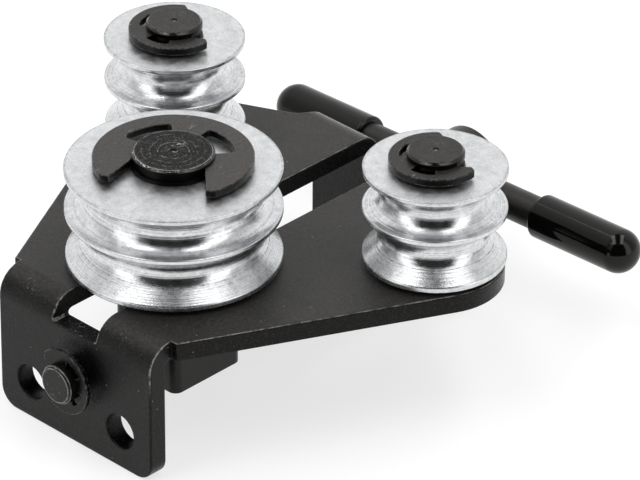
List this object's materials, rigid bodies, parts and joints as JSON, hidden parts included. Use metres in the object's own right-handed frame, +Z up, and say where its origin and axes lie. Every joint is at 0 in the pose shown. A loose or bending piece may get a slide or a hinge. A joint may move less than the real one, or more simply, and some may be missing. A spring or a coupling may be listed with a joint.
{
  "type": "brake pipe bender",
  "caption": "Screw-driven brake pipe bender: a grooved roller on a sliding carriage is pulled between two fixed grooved rollers by a tee handle, on a folded steel frame.",
  "frame": {"origin": "on the outer face of the front flange, midway between its two mounting holes", "axes": "+X across the frame, +Y from the front flange to the tee handle along the screw, +Z up from the flange to the rollers"},
  "size_m": [0.1238, 0.1459, 0.0678],
  "materials": {
    "black_frame": "satin black paint on folded steel sheet",
    "black_block": "satin black",
    "black_axle": "blackened steel with turning marks",
    "zinc_roller": "bright zinc plating on turned steel",
    "dark_washer": "blackened steel",
    "black_clip": "blackened spring steel",
    "black_screw": "blackened steel",
    "black_handle": "satin black paint",
    "vinyl_grip": "glossy dipped vinyl"
  },
  "bodies": {
    "frame": {"frame_plate": "black_frame", "small_axle_left": "black_axle", "small_axle_right": "black_axle", "small_washer_left": "dark_washer", "small_washer_right": "dark_washer", "small_axle_clip_left": "black_clip", "small_axle_clip_right": "black_clip"},
    "screw": {"lead_screw": "black_screw", "screw_clip": "black_clip", "handle_hub": "black_handle", "tee_bar": "black_handle", "grip_left": "vinyl_grip", "grip_right": "vinyl_grip"},
    "carriage": {"carriage_block": "black_block", "large_axle": "black_axle", "large_axle_clip": "black_clip", "large_washer": "dark_washer"},
    "large_roller": {"large_roller": "zinc_roller"},
    "small_roller_left": {"small_roller_left": "zinc_roller"},
    "small_roller_right": {"small_roller_right": "zinc_roller"}
  },
  "joints": [
    {"name": "screw_turn", "type": "hinge", "parent": "frame", "child": "screw", "pos_m": [0, 0.1313, 0.0088], "axis": [0, -1, 0], "range_deg": [-1620, 12240]},
    {"name": "carriage_slide", "type": "slide", "parent": "frame", "child": "carriage", "axis": [0, 1, 0], "range_m": [-0.0079, 0.0596]},
    {"name": "large_roller_spin", "type": "hinge", "parent": "carriage", "child": "large_roller", "pos_m": [0, 0.03354, 0.0406], "axis": [0, 0, 1], "continuous": true},
    {"name": "small_roller_left_spin", "type": "hinge", "parent": "frame", "child": "small_roller_left", "pos_m": [-0.04444, 0.07729, 0.0406], "axis": [0, 0, 1], "continuous": true},
    {"name": "small_roller_right_spin", "type": "hinge", "parent": "frame", "child": "small_roller_right", "pos_m": [0.04444, 0.07729, 0.0406], "axis": [0, 0, 1], "continuous": true}
  ],
  "couplings": [
    {"joint": "carriage_slide", "follows": "screw_turn", "m_per_rad": 0.00027852}
  ]
}
